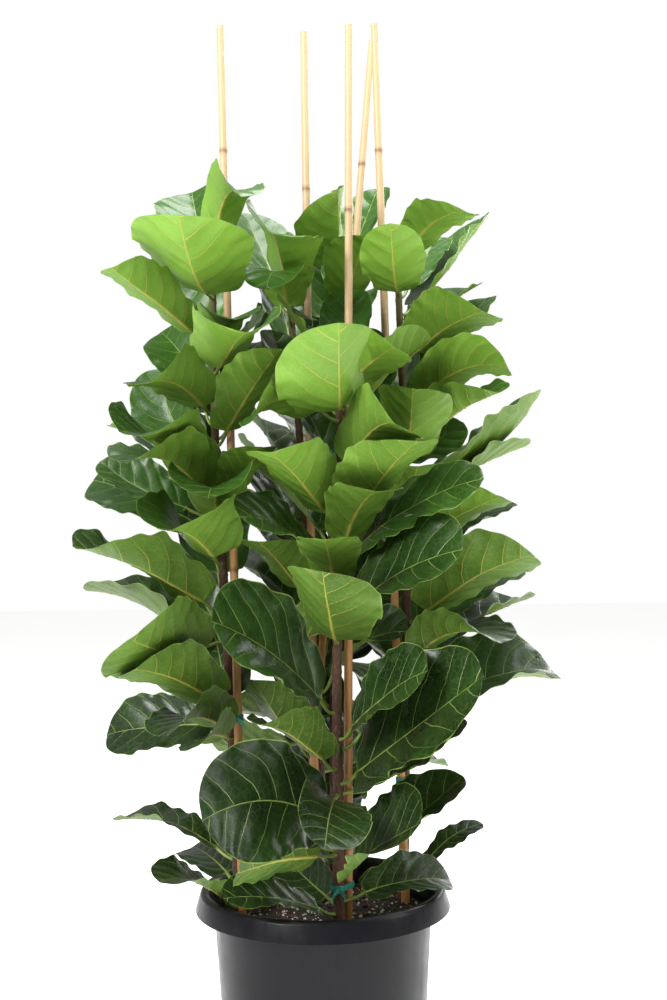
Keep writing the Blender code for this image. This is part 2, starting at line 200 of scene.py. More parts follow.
def buildPot():
    top, neck, rim = pot["height"], pot["neckRadius"], pot["rimRadius"]
    foot = top - pot["skirt"]
    low = float(potWallRadius(pot["floor"]))
    profile = roundedProfile([
        (0.0, 0.0), (pot["baseRadius"] - 0.004, 0.0), (pot["baseRadius"], 0.004),
        (neck, pot["neckHeight"]), (neck + 0.0065, top - 0.016), (neck + 0.0100, top - 0.0085),
        (neck + 0.0150, top - 0.0095), (rim - 0.0025, foot - 0.0003), (rim, foot),
        (rim - 0.0070, top - 0.0045), (rim - 0.0095, top - 0.0010), (rim - 0.0130, top),
        (rim - 0.0175, top - 0.0015), (rim - 0.0202, top - 0.0060), (rim - 0.0230, top - 0.0160),
        (neck - pot["wall"], pot["neckHeight"]), (low - 0.001, pot["floor"] + 0.001),
        (low - 0.004, pot["floor"]), (0.0, pot["floor"]),
    ])
    turnedPiece("potShell", profile, 160, potPlastic(), ["pot"])
    print("pot done")


# soil: damp peat and bark mix with perlite

soil = {"peat": "#241a13", "crumb": "#4a382a", "perlite": "#e9e6dd", "barkChip": "#5a3a26",
        "perliteCount": 420, "chipCount": 260, "crumbHeight": 0.004}


def crumbs(x, y):
    # sums of crossed sine waves at a few wavelengths, from 40 mm down to 5 mm
    total = 0
    for index, wave in enumerate((160, 290, 530, 1100)):
        turn = 0.7 + 1.9 * index
        along = x * math.cos(turn) + y * math.sin(turn)
        across = y * math.cos(turn) - x * math.sin(turn)
        total = total + np.sin(along * wave + index) * np.sin(across * wave * 0.83 + 2 * index) / (1 + index)
    return total * soil["crumbHeight"] / 2.4


def soilSurface(radius):
    return pot["soilTop"] + 0.001 - 0.004 * (radius / 0.15) ** 4


def potRelief(x, y, z):
    inside = np.clip((0.146 - np.hypot(x, y)) / 0.01, 0, 1)
    return np.where(z > 0.2, crumbs(x, y) * 0.5 * inside, 0)


def peat():
    # near black, damp and matt, broken by paler crumbs about 4 mm across
    material, tree, shader = newMaterial("peatAndBarkMix", 0.95, 1.4, soil["peat"])
    place = put(tree, "ShaderNodeTexCoord").outputs["Object"]
    lumps = put(tree, "ShaderNodeTexVoronoi", {"Vector": place, "Scale": 260.0}).outputs["Distance"]
    grit = put(tree, "ShaderNodeTexNoise", {"Vector": place, "Scale": 420.0, "Detail": 6.0}).outputs["Fac"]
    pale = put(tree, "ShaderNodeMapRange", {"Value": grit, "From Min": 0.5, "From Max": 0.72}).outputs[0]
    base = put(
        tree, "ShaderNodeMix", {0: pale, 6: linear(soil["peat"]), 7: linear(soil["crumb"])}, data_type="RGBA"
    )
    tree.links.new(base.outputs[2], shader.inputs["Base Color"])
    rise = put(tree, "ShaderNodeMath", {0: grit, 1: lumps}, operation="ADD").outputs[0]
    bump = put(tree, "ShaderNodeBump", {"Height": rise, "Strength": 0.9, "Distance": 0.002})
    tree.links.new(bump.outputs[0], shader.inputs["Normal"])
    return material


def crumbMaterial(name, colour, roughness):
    # one colour of loose crumb, mottled so that no two grains look alike
    material, tree, shader = newMaterial(name, roughness, 1.45, colour)
    place = put(tree, "ShaderNodeTexCoord").outputs["Object"]
    spots = put(tree, "ShaderNodeTexNoise", {"Vector": place, "Scale": 600.0, "Detail": 4.0}).outputs["Fac"]
    shade = put(tree, "ShaderNodeMapRange", {"Value": spots, "From Min": 0.35, "From Max": 0.7}).outputs[0]
    dark = tuple(v * 0.45 for v in linear(colour)[:3]) + (1.0,)
    base = put(tree, "ShaderNodeMix", {0: shade, 6: dark, 7: linear(colour)}, data_type="RGBA")
    tree.links.new(base.outputs[2], shader.inputs["Base Color"])
    bump = put(tree, "ShaderNodeBump", {"Height": spots, "Strength": 0.6, "Distance": 0.001})
    tree.links.new(bump.outputs[0], shader.inputs["Normal"])
    return material


def scatter(name, count, sizes, flatness, material):
    # squashed octahedra with their corners pushed in and out, set half into the soil
    corner = np.array([(1, 0, 0), (0, 1, 0), (-1, 0, 0), (0, -1, 0), (0, 0, 1), (0, 0, -1)], dtype=float)
    cell = [(0, 1, 4), (1, 2, 4), (2, 3, 4), (3, 0, 4), (1, 0, 5), (2, 1, 5), (3, 2, 5), (0, 3, 5)]
    radius = 0.143 * np.sqrt(random.random(count))
    angle = random.random(count) * 2 * math.pi
    size = sizes[0] + (sizes[1] - sizes[0]) * random.random(count) ** 2
    stretch = np.stack([size, size * (0.55 + 0.5 * random.random(count)), size * flatness], axis=-1)
    shape = corner[None] * stretch[:, None] * (0.75 + 0.5 * random.random((count, 6, 1)))
    turn = random.random(count) * 2 * math.pi
    c, s = np.cos(turn)[:, None], np.sin(turn)[:, None]
    x, y = shape[..., 0] * c - shape[..., 1] * s, shape[..., 0] * s + shape[..., 1] * c
    centreX, centreY = radius * np.cos(angle), radius * np.sin(angle)
    level = soilSurface(radius) + crumbs(centreX, centreY) * 0.5 + size * flatness * 0.35
    points = np.stack([x + centreX[:, None], y + centreY[:, None], shape[..., 2] + level[:, None]], axis=-1)
    faces = (np.array(cell)[None] + 6 * np.arange(count)[:, None, None]).reshape(-1, 3).tolist()
    return addPiece(name, points.reshape(-1, 3), faces, [material], sharp=25)


def buildSoil():
    low = pot["floor"] + 0.0003
    inner = float(potWallRadius(low)) - 0.0043
    rings = np.linspace(0.1475, 0.0015, 60)
    surface = np.stack([rings, soilSurface(rings)], axis=-1)
    wall = [(0.0, low), (inner, low), (inner + 0.003, low + 0.004), (0.1481, pot["soilTop"] - 0.006)]
    profile = np.vstack([wall, surface, [(0.0, pot["soilTop"] + 0.001)]])
    turnedPiece("pottingMix", profile, 150, peat(), ["soil"], potRelief)
    whiteGrain = crumbMaterial("expandedPerlite", soil["perlite"], 0.9)
    scatter("perlite", soil["perliteCount"], (0.0012, 0.0034), 0.8, whiteGrain)
    brownChip = crumbMaterial("barkChip", soil["barkChip"], 0.85)
    scatter("barkChips", soil["chipCount"], (0.003, 0.009), 0.35, brownChip)
    print("soil done")


# canes: dried bamboo pushed down to the floor of the pot

canes = {
    "radius": (0.0062, 0.0052), "nodeSwell": 0.0006, "nodeSpacing": 0.29,
    "straw": "#d3b48c", "amber": "#a8743f", "nodeMark": "#6f4a2c", "fibre": "#bd945c",
    "lines": {
        "1": ((-0.107, -0.049, 0.020), (-0.125, -0.032, 1.503), 0.17),
        "2": ((-0.010, 0.030, 0.020), (-0.010, 0.030, 1.514), 0.13),
        "3": ((0.031, -0.070, 0.020), (0.053, -0.060, 1.492), 0.08),
        "4": ((-0.055, 0.058, 0.020), (0.090, 0.100, 1.524), 0.18),
        "5": ((0.123, 0.024, 0.020), (0.092, 0.060, 1.534), 0.19),
    },
}


def canePoint(key, height):
    foot, top, _ = canes["lines"][key]
    foot, top = np.array(foot), np.array(top)
    part = (np.asarray(height) - foot[2]) / (top[2] - foot[2])
    return foot + (top - foot) * part[..., None]


def caneRadius(key, height):
    foot, top, _ = canes["lines"][key]
    return np.interp(height, [foot[2], top[2]], canes["radius"])


def bamboo():
    # waxy straw rind that ages to amber low down, fine fibres along it, a brown scar at each node
    material, tree, shader = newMaterial("driedBambooRind", 0.42, 1.5, canes["straw"])
    place = put(tree, "ShaderNodeTexCoord").outputs["Object"]
    drawn = put(tree, "ShaderNodeMapping", {"Vector": place, "Scale": (1400, 1400, 14)}).outputs[0]
    fibre = put(tree, "ShaderNodeTexNoise", {"Vector": drawn, "Scale": 1.0, "Detail": 3.0}).outputs["Fac"]
    blotch = put(tree, "ShaderNodeTexNoise", {"Vector": place, "Scale": 45.0, "Detail": 5.0}).outputs["Fac"]
    height = put(tree, "ShaderNodeSeparateXYZ", {"Vector": place}).outputs["Z"]
    ageing = put(
        tree, "ShaderNodeMath", {0: blotch, 1: 0.55, 2: height}, operation="MULTIPLY_ADD"
    ).outputs[0]
    young = put(
        tree, "ShaderNodeMapRange", {"Value": ageing, "From Min": 0.95, "From Max": 1.48}
    ).outputs[0]
    rind = put(
        tree, "ShaderNodeMix",
        {0: young, 6: linear(canes["amber"]), 7: linear(canes["straw"])}, data_type="RGBA"
    )
    fine = put(
        tree, "ShaderNodeMapRange", {"Value": fibre, "From Min": 0.45, "From Max": 0.8, "To Max": 0.55}
    ).outputs[0]
    lined = put(
        tree, "ShaderNodeMix", {0: fine, 6: rind.outputs[2], 7: linear(canes["fibre"])}, data_type="RGBA"
    )
    ring = put(tree, "ShaderNodeAttribute", attribute_name="nodeRing").outputs["Fac"]
    mottled = put(tree, "ShaderNodeMath", {0: ring, 1: blotch}, operation="MULTIPLY").outputs[0]
    mark = put(tree, "ShaderNodeMath", {0: mottled, 1: 1.5}, operation="MULTIPLY").outputs[0]
    base = put(
        tree, "ShaderNodeMix", {0: mark, 6: lined.outputs[2], 7: linear(canes["nodeMark"])}, data_type="RGBA"
    )
    tree.links.new(base.outputs[2], shader.inputs["Base Color"])
    bump = put(tree, "ShaderNodeBump", {"Height": fibre, "Strength": 0.25, "Distance": 0.0006})
    tree.links.new(bump.outputs[0], shader.inputs["Normal"])
    return material


def buildCanes():
    material = bamboo()
    angle = np.linspace(0, 2 * math.pi, 20, endpoint=False)
    for key, (foot, top, firstNode) in canes["lines"].items():
        nodes = np.arange(firstNode, top[2] - 0.02, canes["nodeSpacing"])
        heights = np.unique(np.concatenate(
            [np.linspace(foot[2], top[2], 60)] + [node + np.linspace(-0.012, 0.012, 17) for node in nodes]
        ))
        heights = heights[(heights >= foot[2]) & (heights <= top[2])]
        gap = heights[:, None] - nodes
        # the rind swells softly below a node, and a thin sheath scar runs round it
        swell = np.exp(-((gap / 0.006) ** 2)).sum(1) * 0.0005 + np.exp(-((gap / 0.0009) ** 2)).sum(1) * 0.0003
        groove = np.exp(-(((gap - 0.0022) / 0.0008) ** 2)).sum(1) * 0.0004
        radius = caneRadius(key, heights) + np.minimum(swell, canes["nodeSwell"]) - groove
        ringMark = np.clip(np.exp(-(((gap + 0.001) / 0.0035) ** 2)).sum(1), 0, 1)
        circle = np.stack([np.cos(angle), np.sin(angle), 0 * angle], axis=-1)
        points = canePoint(key, heights)[:, None] + radius[:, None, None] * circle
        faces = tubeFaces(len(heights), len(angle))
        marks = np.repeat(ringMark, len(angle))
        addPiece("bambooCane_" + key, points.reshape(-1, 3), faces, [material],
                 {"nodeRing": marks}, stands=["cane_" + key])
    print("canes done")


# stems: woody, with a leaf scar at every old node

stems = {
    "radius": (0.0085, 0.0050), "bark": "#4a3326", "ridge": "#7b6450", "young": "#5b5a32",
    "lines": {
        "a": [(-0.114, -0.030, 0.235), (-0.123, -0.029, 0.550), (-0.132, -0.030, 0.750),
              (-0.140, -0.032, 0.920), (-0.141, -0.032, 1.190)],
        "b": [(0.022, -0.084, 0.235), (0.024, -0.081, 0.600), (0.030, -0.076, 0.880), (0.034, -0.075, 1.030)],
        "c": [(0.004, 0.046, 0.235), (-0.004, 0.046, 0.510), (-0.020, 0.046, 0.850), (-0.036, 0.046, 1.140)],
        "d": [(0.114, 0.046, 0.235), (0.126, 0.050, 0.620), (0.128, 0.052, 0.900), (0.120, 0.052, 1.190)],
        "e": [(0.018, 0.100, 0.235), (0.020, 0.100, 0.600), (0.028, 0.100, 0.900), (0.035, 0.100, 1.200)],
    },
}


def stemPoint(key, height):
    line = np.array(stems["lines"][key])
    return np.stack([np.interp(height, line[:, 2], line[:, axis]) for axis in range(3)], axis=-1)


def stemRadius(key, height):
    line = stems["lines"][key]
    return np.interp(height, [line[0][2], line[-1][2]], stems["radius"])


def bark():
    # dull grey brown cork with fine cracks and pale dots, greener where the stem is young
    material, tree, shader = newMaterial("figBark", 0.82, 1.4, stems["bark"])
    place = put(tree, "ShaderNodeTexCoord").outputs["Object"]
    drawn = put(tree, "ShaderNodeMapping", {"Vector": place, "Scale": (1, 1, 0.3)}).outputs[0]
    cork = put(tree, "ShaderNodeTexNoise", {"Vector": drawn, "Scale": 420.0, "Detail": 6.0}).outputs["Fac"]
    dots = put(tree, "ShaderNodeTexVoronoi", {"Vector": place, "Scale": 330.0}).outputs["Distance"]
    dot = put(tree, "ShaderNodeMapRange", {"Value": dots, "From Min": 0.16, "From Max": 0.05}).outputs[0]
    height = put(tree, "ShaderNodeSeparateXYZ", {"Vector": place}).outputs["Z"]
    greening = put(
        tree, "ShaderNodeMapRange", {"Value": height, "From Min": 0.9, "From Max": 1.16}
    ).outputs[0]
    body = put(
        tree, "ShaderNodeMix",
        {0: greening, 6: linear(stems["bark"]), 7: linear(stems["young"])}, data_type="RGBA"
    )
    crack = put(
        tree, "ShaderNodeMapRange", {"Value": cork, "From Min": 0.5, "From Max": 0.75, "To Max": 0.6}
    ).outputs[0]
    ridge = put(
        tree, "ShaderNodeMix", {0: crack, 6: body.outputs[2], 7: linear(stems["ridge"])}, data_type="RGBA"
    )
    speck = put(tree, "ShaderNodeMath", {0: dot, 1: 0.5}, operation="MULTIPLY").outputs[0]
    base = put(
        tree, "ShaderNodeMix", {0: speck, 6: ridge.outputs[2], 7: linear("#a08a6c")}, data_type="RGBA"
    )
    tree.links.new(base.outputs[2], shader.inputs["Base Color"])
    bump = put(tree, "ShaderNodeBump", {"Height": cork, "Strength": 0.8, "Distance": 0.0012})
    tree.links.new(bump.outputs[0], shader.inputs["Normal"])
    return material


def buildStems():
    material = bark()
    angle = np.linspace(0, 2 * math.pi, 22, endpoint=False)
    circle = np.stack([np.cos(angle), np.sin(angle), 0 * angle], axis=-1)
    for number, (key, line) in enumerate(stems["lines"].items()):
        heights = np.linspace(line[0][2], line[-1][2], 320)
        scars = np.arange(line[0][2] + 0.02 + 0.004 * number, line[-1][2], 0.027)
        gap = (heights[:, None] - scars)[:, None, :]
        # each scar is a ridge on one side of the stem, turned 137.5 degrees from the last one
        facing = np.cos(angle[:, None] - np.radians(137.5) * np.arange(len(scars)))
        ridge = (np.exp(-((gap / 0.0022) ** 2)) * (0.35 + 0.65 * np.clip(facing, 0, 1))).sum(-1) * 0.0011
        cork = np.sin(heights[:, None] * 410 + 3 * np.sin(angle * 2))
        cork = cork * np.sin(angle * 5 + heights[:, None] * 23)
        radius = stemRadius(key, heights)[:, None] - 0.0004 + ridge + 0.00022 * cork
        # the top narrows into a pointed bud
        bud = np.clip((line[-1][2] - heights) / 0.022, 0, 1)[:, None] ** 0.55
        radius = radius * (0.12 + 0.88 * bud)
        points = stemPoint(key, heights)[:, None] + radius[..., None] * circle
        faces = tubeFaces(len(heights), len(angle))
        addPiece("woodyStem_" + key, points.reshape(-1, 3), faces, [material], stands=["stem_" + key])
    print("stems done")


# ties: stretch tape round a stem and its cane

ties = {
    "height": 0.008, "thickness": 0.0007, "clearance": 0.0014, "colour": "#0f6f64", "tail": 0.010,
    "places": [
        ("b", "3", 0.915), ("b", "3", 0.414), ("b", "3", 0.320), ("a", "1", 0.545),
        ("c", "2", 0.665), ("c", "2", 0.510), ("d", "5", 0.440),
    ],
}


def tape():
    # thin teal vinyl with a soft shine and fine stretch wrinkles across it
    material, tree, shader = newMaterial("tealGardenTape", 0.38, 1.5, ties["colour"])
    place = put(tree, "ShaderNodeTexCoord").outputs["Object"]
    wrinkle = put(
        tree, "ShaderNodeTexNoise", {"Vector": place, "Scale": 420.0, "Detail": 3.0}
    ).outputs["Fac"]
    shade = put(tree, "ShaderNodeMapRange", {"Value": wrinkle, "From Min": 0.3, "From Max": 0.7}).outputs[0]
    base = put(
        tree, "ShaderNodeMix", {0: shade, 6: linear("#0a5048"), 7: linear("#1f9484")}, data_type="RGBA"
    )
    tree.links.new(base.outputs[2], shader.inputs["Base Color"])
    bump = put(tree, "ShaderNodeBump", {"Height": wrinkle, "Strength": 0.5, "Distance": 0.0008})
    tree.links.new(bump.outputs[0], shader.inputs["Normal"])
    return material


def tieLoop(stem, cane, height, spread):
    # a half circle round the stem and another round the cane, joined by straight sides
    height = np.float64(height)
    ends = (canePoint(cane, height), stemPoint(stem, height))
    radii = (caneRadius(cane, height) + spread, stemRadius(stem, height) + spread)
    across = ends[0] - ends[1]
    turn = math.atan2(across[1], across[0])
    loop = []
    for centre, radius, start in zip(ends, radii, (-0.5, 0.5)):
        angle = turn + math.pi * (start + np.linspace(0, 1, 20))
        loop.append(centre + radius * np.stack([np.cos(angle), np.sin(angle), 0 * angle], axis=-1))
    return np.concatenate(loop)


def buildTies():
    material = tape()
    for number, (stem, cane, height) in enumerate(ties["places"], 1):
        # a thin band whose profile bows out at its middle, carried round the loop
        profile = [(0.0, -0.5), (1.0, -0.5), (1.35, -0.2), (1.35, 0.2), (1.0, 0.5), (0.0, 0.5), (0.3, 0.0)]
        rings = []
        for outward, upward in profile:
            level = height + upward * ties["height"]
            ring = tieLoop(stem, cane, level, ties["clearance"] + outward * ties["thickness"])
            count = len(ring)
            ripple = 0.0005 * np.sin(np.linspace(0, 14 * math.pi, count)) * upward
            ring[:, 2] = level + ripple
            rings.append(ring)
        points = np.concatenate(rings)
        ring, side = np.meshgrid(np.arange(len(profile)), np.arange(count), indexing="ij")
        a, b = ring * count + side, ring * count + (side + 1) % count
        step = (ring + 1) % len(profile)
        c, d = step * count + side, step * count + (side + 1) % count
        faces = np.stack([a, b, d, c], axis=-1).reshape(-1, 4).tolist()
        # two short tails where the tape is tucked under itself
        front = rings[2][np.argmin(rings[2][:, 1])]
        for sign in (-1, 1):
            t = np.linspace(0, 1, 7)[:, None]
            line = front + np.hstack([sign * t * ties["tail"], -0.002 - 0.004 * t, -0.004 * t - 0.006 * t**2])
            box = np.array([(-0.0003, -0.0033), (0.0003, -0.0033), (0.0003, 0.0033), (-0.0003, 0.0033)])
            rows = line[:, None] + np.stack([0 * box[:, 0], box[:, 0] * sign, box[:, 1]], axis=-1)
            base = len(points)
            points = np.vstack([points, rows.reshape(-1, 3)])
            faces += [[v + base for v in face] for face in tubeFaces(7, 4)]
        addPiece(f"gardenTape_{number}", points, faces, [material], sharp=45,
                 stands=[f"tie_{number}"])
    print("ties done")


# leaves

leafShape = {
    "wave": 0.02, "wavesPerBlade": 2.2, "phaseStep": 2.1, "bladeFoot": 0.008, "petioleRadius": 0.0021,
    "thickness": 0.0007, "midribDepth": 0.0026, "midribWidth": 0.0021, "veinPairs": 6.0,
    "pucker": 0.0027, "rows": 58, "columns": 28, "petioleRows": 9,
    "upperDark": "#12280f", "upperYoung": "#36601d", "upperVein": "#9fb25c",
    # the underside's dark colour is an old leaf's colour and also painted shade for undersides low in the
    # plant
    "underAgedAndShaded": "#41631f", "underYoung": "#77a636", "underVein": "#c3b552", "stalk": "#75893a",
    "margin": "#86a04c",
}

# each leaf: name, height on its stem, heading (0 is +X, 90 is +Y), rise of the blade at its foot and
# at its tip, length, width, roll, further twist, curl of the left and right half, petiole length
leaves = {
    "a": [
        ("a1", 1.186, -70, 55, -40, 0.14, 0.09, 10, 0, 30, 55, 0.03),
        ("a2", 1.180, 105, 30, 55, 0.17, 0.13, 25, 0, 40, 55, 0.03),
        ("a3", 1.125, -95, 0, 45, 0.2, 0.17, 10, 0, 30, 20, 0.04),
        ("a4", 1.060, -120, 20, 20, 0.185, 0.09, -10, 0, 60, 35, 0.04),
        ("a5", 1.020, -75, 10, 5, 0.19, 0.15, -5, 0, 45, 55, 0.03),
        ("a6", 0.960, -110, 25, -15, 0.17, 0.11, -5, 0, 60, 5, 0.03),
        ("a7", 0.910, 135, 20, 100, 0.15, 0.11, 65, 0, 30, 20, 0.03),
        ("a8", 0.950, 135, 65, 30, 0.15, 0.1, 40, 0, 25, 25, 0.03),
        ("a9", 0.920, -55, 40, 30, 0.17, 0.1, 0, 0, 25, 25, 0.03),
        ("a10", 0.865, -120, 30, 0, 0.19, 0.13, -20, 60, 60, 25, 0.03),
        ("a11", 0.795, 145, 25, 10, 0.21, 0.11, 50, 0, 30, 30, 0.04),
        ("a12", 0.755, -105, 25, 0, 0.17, 0.16, -10, 0, 30, 70, 0.03),
        ("a13", 0.690, -145, 30, 15, 0.21, 0.13, -30, 60, 60, 20, 0.03),
        ("a14", 0.650, -120, -5, 25, 0.17, 0.16, -35, 0, 35, 5, 0.04),
        ("a15", 0.555, -125, 30, 10, 0.17, 0.12, -30, 0, 25, 25, 0.03),
        ("a16", 0.530, 160, 0, -15, 0.17, 0.1, 40, 0, 5, 40, 0.02),
        ("a17", 0.515, -100, 15, -5, 0.12, 0.09, -40, 0, 25, 25, 0.03),
        ("a18", 0.525, -120, 30, -30, 0.13, 0.12, -25, 0, 25, 35, 0.02),
        ("a19", 0.345, 150, 25, -15, 0.18, 0.08, 0, 0, 25, 25, 0.03),
        ("a20", 0.280, -130, 40, 0, 0.13, 0.09, 10, 0, 25, 25, 0.03),
        ("a21", 0.310, 120, 15, -5, 0.12, 0.09, 20, 0, 25, 25, 0.03),
        ("a22", 0.930, 60, 35, 15, 0.13, 0.12, 10, 0, 25, 25, 0.03),
        ("a23", 0.835, -60, 35, 25, 0.12, 0.08, 0, 0, 25, 25, 0.03),
        ("a75", 0.505, 120, 15, 20, 0.23, 0.15, -5, 0, 40, 5, 0.04),
        ("a76", 0.610, 170, 45, 5, 0.2, 0.16, 0, 0, 30, 25, 0.03),
        ("a77", 0.720, 110, 45, 10, 0.19, 0.15, 0, 0, 30, 25, 0.03),
        ("a78", 0.840, 130, 40, 10, 0.22, 0.15, 10, 0, 30, 45, 0.03),
        ("a79", 0.940, 85, 55, 20, 0.18, 0.14, 0, 0, 30, 25, 0.03),
        ("a80", 1.050, 125, 55, 25, 0.18, 0.14, 0, 0, 30, 25, 0.03),
        ("a113", 0.820, 175, 20, 40, 0.14, 0.09, 35, 0, 25, 35, 0.04),
        ("a114", 0.830, 235, 45, -20, 0.17, 0.13, 0, 0, 40, 25, 0.03),
        ("a117", 0.385, 10, 0, -40, 0.15, 0.11, -40, 0, 30, 25, 0.02),
        ("a121", 0.550, 110, 55, 45, 0.17, 0.13, 35, 0, 25, 15, 0.02),
        ("a122", 1.040, 70, 25, 25, 0.13, 0.1, 25, 0, 15, 35, 0.04),
        ("a129", 0.645, 125, 45, 25, 0.16, 0.1, 35, 0, 35, 30, 0.04),
        ("a132", 0.655, 0, -5, 40, 0.15, 0.11, 35, 0, 45, 45, 0.04),
        ("a137", 1.050, 285, 25, -15, 0.14, 0.09, -10, 0, 15, 45, 0.02),
        ("a140", 0.795, 270, 40, -25, 0.16, 0.13, 5, 0, 45, 30, 0.04),
    ],
    "b": [
        ("b1", 0.970, -90, -10, 75, 0.21, 0.16, -10, 0, 65, 10, 0.03),
        ("b2", 0.935, 70, 20, 105, 0.19, 0.09, -70, 0, 35, 75, 0.02),
        ("b3", 0.990, -60, 25, 10, 0.12, 0.09, 30, 0, 25, 30, 0.02),
        ("b4", 0.895, 140, 55, 65, 0.2, 0.12, 0, 0, 25, 20, 0.02),
        ("b5", 0.810, -115, 30, 20, 0.18, 0.12, 0, 0, 50, 25, 0.03),
        ("b6", 0.780, 145, 45, 30, 0.15, 0.12, -10, 0, 45, 40, 0.03),
        ("b7", 0.800, -60, 35, 25, 0.19, 0.13, 0, 0, 25, 25, 0.03),
        ("b8", 0.760, -25, 40, 10, 0.2, 0.1, -40, 0, 15, 5, 0.03),
        ("b9", 0.685, -40, 35, 10, 0.19, 0.14, -50, 0, 25, 25, 0.03),
        ("b10", 0.715, -95, 30, 20, 0.15, 0.09, 0, 0, 25, 25, 0.03),
        ("b11", 0.650, -95, 20, 45, 0.19, 0.14, 5, 0, 5, 45, 0.02),
        ("b12", 0.555, -140, 45, 20, 0.21, 0.17, 55, 0, 25, 25, 0.03),
        ("b13", 0.480, -125, 35, 15, 0.15, 0.1, 0, 0, 60, 25, 0.03),
        ("b14", 0.520, -50, 40, 20, 0.17, 0.11, -55, 0, 25, 25, 0.03),
        ("b15", 0.460, -40, 35, 35, 0.25, 0.17, -50, 0, 25, 15, 0.03),
        ("b16", 0.505, 20, 35, 10, 0.19, 0.12, -40, 0, 25, 25, 0.03),
        ("b17", 0.335, -55, 35, 25, 0.17, 0.14, -50, 0, 25, 45, 0.03),
        ("b18", 0.405, -130, 30, -15, 0.23, 0.16, 77, 0, 20, 20, 0.03),
        ("b19", 0.365, -125, 10, 0, 0.17, 0.08, -65, 0, 25, 25, 0.04),
        ("b20", 0.295, 125, 15, 20, 0.12, 0.09, 45, 0, 25, 25, 0.02),
        ("b21", 0.285, -140, 25, 5, 0.16, 0.07, 30, 0, 25, 25, 0.03),
        ("b22", 0.300, 20, 15, -15, 0.13, 0.09, -25, 0, 25, 25, 0.03),
        ("b24", 0.980, 80, 60, 60, 0.16, 0.08, 0, 0, 25, 25, 0.03),
        ("b25", 0.960, 140, 70, 45, 0.17, 0.11, -20, 0, 20, 25, 0.02),
        ("b111", 0.865, 290, 35, -5, 0.17, 0.12, 35, 0, 25, 45, 0.04),
        ("b119", 0.875, 80, -5, -30, 0.15, 0.11, -40, 0, 35, 10, 0.02),
        ("b123", 0.950, 235, 20, -40, 0.15, 0.11, -40, 0, 25, 25, 0.04),
        ("b124", 0.445, 15, 15, 45, 0.18, 0.12, 5, 0, 35, 10, 0.02),
        ("b126", 0.375, 10, 15, 45, 0.17, 0.11, -15, 0, 35, 25, 0.02),
        ("b128", 0.445, 265, 5, -30, 0.15, 0.11, 20, 0, 20, 40, 0.04),
        ("b135", 0.370, 195, 20, 20, 0.14, 0.11, 15, 0, 15, 10, 0.02),
        ("b138", 0.945, 10, 50, 35, 0.14, 0.1, 25, 0, 35, 40, 0.03),
        ("b141", 0.760, 290, 50, 0, 0.14, 0.1, 0, 0, 15, 25, 0.04),
        ("b143", 0.740, 225, 45, 0, 0.17, 0.11, 35, 0, 15, 20, 0.02),
    ],
    "c": [
        ("c1", 1.130, -95, 30, -10, 0.21, 0.12, 35, 0, 45, 25, 0.03),
        ("c2", 1.115, 125, 55, 55, 0.17, 0.11, 0, 0, 25, 25, 0.03),
        ("c3", 1.095, -100, 50, -55, 0.16, 0.09, 0, 0, 10, 20, 0.03),
        ("c8", 0.715, 120, 30, 30, 0.15, 0.07, -25, 0, 25, 25, 0.03),
        ("c9", 0.700, -115, 35, 25, 0.14, 0.1, 0, 0, 25, 25, 0.03),
        ("c11", 0.470, -145, 45, 60, 0.12, 0.12, 0, 0, 45, 10, 0.04),
        ("c14", 0.570, 110, 30, 25, 0.15, 0.12, 15, 0, 15, 10, 0.03),
        ("c61", 0.450, 40, 5, -5, 0.18, 0.17, -45, 0, 45, 55, 0.03),
        ("c62", 0.565, 130, 45, -5, 0.19, 0.18, 25, 0, 40, 5, 0.04),
        ("c63", 0.655, 140, 50, -15, 0.2, 0.16, 0, 0, 30, 25, 0.03),
        ("c64", 0.750, 110, 55, 40, 0.19, 0.15, 5, 0, 30, 25, 0.04),
        ("c65", 0.865, 120, 40, 20, 0.19, 0.15, -20, 0, 35, 15, 0.03),
        ("c66", 0.965, 85, 25, 95, 0.17, 0.14, -40, 0, 25, 20, 0.04),
        ("c67", 1.055, 110, 60, 40, 0.2, 0.14, -10, 0, 35, 5, 0.03),
        ("c112", 0.490, 145, -5, -15, 0.14, 0.1, -20, 0, 45, 35, 0.04),
        ("c133", 0.785, 140, 60, 35, 0.15, 0.11, -30, 0, 15, 45, 0.04),
        ("c136", 0.405, 165, -5, 40, 0.14, 0.09, 0, 0, 20, 10, 0.04),
        ("c142", 0.565, 335, 55, 0, 0.14, 0.1, -35, 0, 40, 40, 0.03),
    ],
    "d": [
        ("d1", 1.140, -95, -5, 45, 0.2, 0.09, 0, 0, 15, 10, 0.04),
        ("d2", 1.186, -65, 25, -10, 0.16, 0.09, 20, 0, 25, 5, 0.03),
        ("d3", 1.135, 60, 40, 45, 0.13, 0.08, -10, 0, 25, 25, 0.03),
        ("d4", 1.040, -55, 25, 5, 0.15, 0.13, 20, 0, 25, 25, 0.03),
        ("d5", 1.050, 45, 45, 25, 0.16, 0.11, 0, 0, 25, 25, 0.03),
        ("d6", 0.990, 35, 45, 45, 0.18, 0.12, 0, 0, 30, 20, 0.04),
        ("d7", 0.970, -35, 40, -20, 0.15, 0.11, 30, 0, 25, 25, 0.03),
        ("d8", 0.890, -90, 20, 35, 0.19, 0.12, 5, 0, 25, 45, 0.03),
        ("d9", 0.870, 15, 10, 65, 0.23, 0.18, 0, 0, 15, 40, 0.02),
        ("d10", 0.770, -45, 30, 15, 0.15, 0.12, 20, 0, 25, 25, 0.03),
        ("d11", 0.775, 40, 40, 25, 0.14, 0.08, 0, 0, 25, 25, 0.03),
        ("d12", 0.755, 30, 30, 15, 0.17, 0.09, -20, 0, 25, 25, 0.03),
        ("d13", 0.665, -35, 35, 15, 0.19, 0.14, 30, 0, 25, 25, 0.03),
        ("d14", 0.640, 35, 35, 15, 0.19, 0.14, -20, 0, 25, 25, 0.03),
